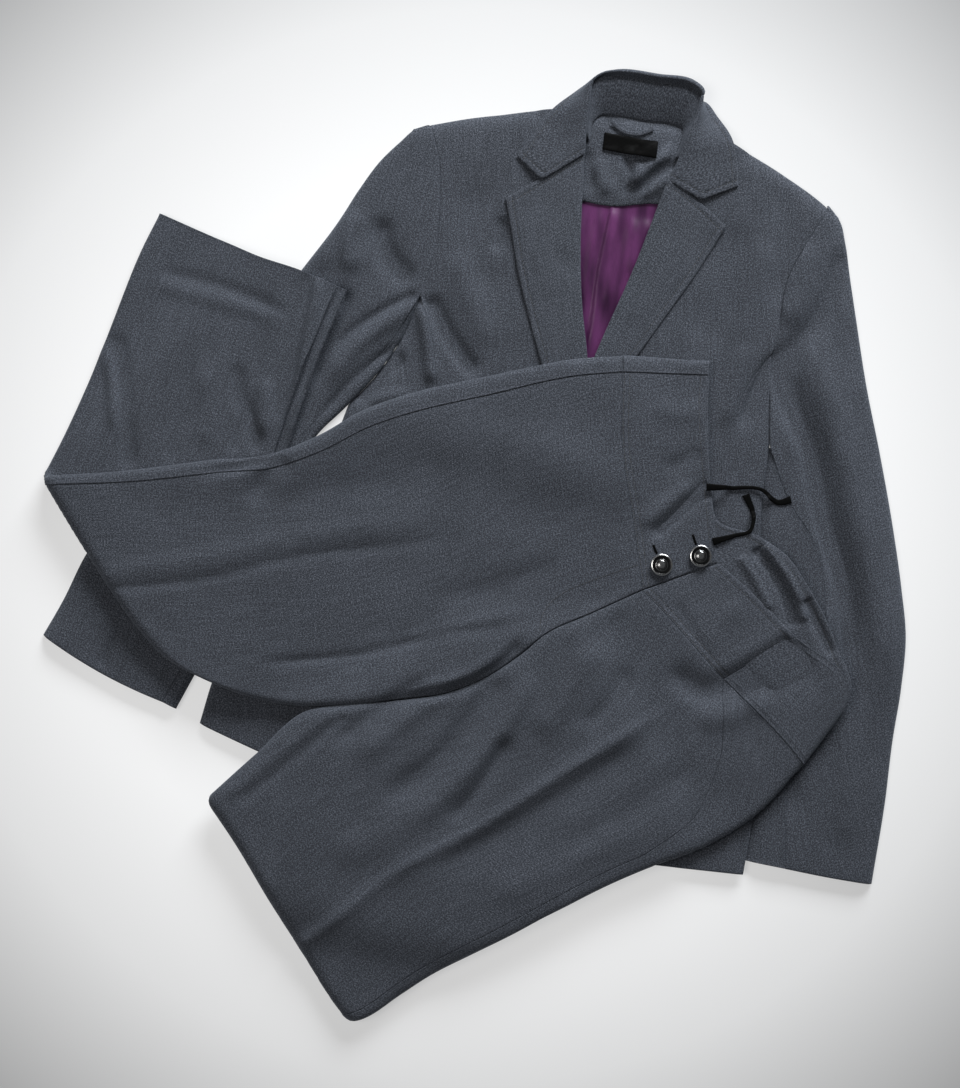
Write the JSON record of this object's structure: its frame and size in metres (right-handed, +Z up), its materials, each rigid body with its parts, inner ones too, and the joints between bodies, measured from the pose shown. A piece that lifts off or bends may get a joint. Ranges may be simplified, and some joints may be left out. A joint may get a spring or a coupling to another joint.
{
  "type": "trouser suit",
  "caption": "Charcoal trouser suit laid out flat: a notch-lapel jacket with purple lining, front up, under trousers folded at the knee and laid across it.",
  "frame": {"origin": "on the surface the suit lies on, under the middle of the whole set", "axes": "+Z up from the surface, +Y towards the top of the picture and the jacket's collar, +X towards the picture's right and the trousers' waist"},
  "size_m": [0.8006, 0.8778, 0.0294],
  "materials": {
    "suiting": "charcoal salt-and-pepper wool-blend twill with a faint blue cast, matt",
    "lining": "deep purple satin lining, soft sheen",
    "satin": "black satin ribbon and blank black woven label, soft sheen",
    "button_metal": "dark polished metal"
  },
  "bodies": {
    "root": {"jacket_back": "suiting", "back_neck_facing": "suiting", "back_lining": "lining", "jacket_right_front": "suiting", "jacket_left_front": "suiting", "jacket_right_side_front": "suiting", "jacket_left_side_front": "suiting", "right_lapel": "suiting", "left_lapel": "suiting", "collar_fall": "suiting", "collar_stand": "suiting", "neck_label": "satin", "hanger_loop": "suiting", "right_top_sleeve": "suiting", "right_under_sleeve": "suiting", "left_top_sleeve": "suiting", "left_under_sleeve": "suiting", "trouser_right_front": "suiting", "trouser_right_back": "suiting", "trouser_left_front": "suiting", "trouser_left_back": "suiting", "waistband_right_front": "suiting", "waistband_left_front": "suiting", "waistband_back": "suiting", "waist_button_outer": "button_metal", "waist_button_inner": "button_metal", "ribbon_loop_outer": "satin", "ribbon_loop_inner": "satin"}
  },
  "joints": []
}
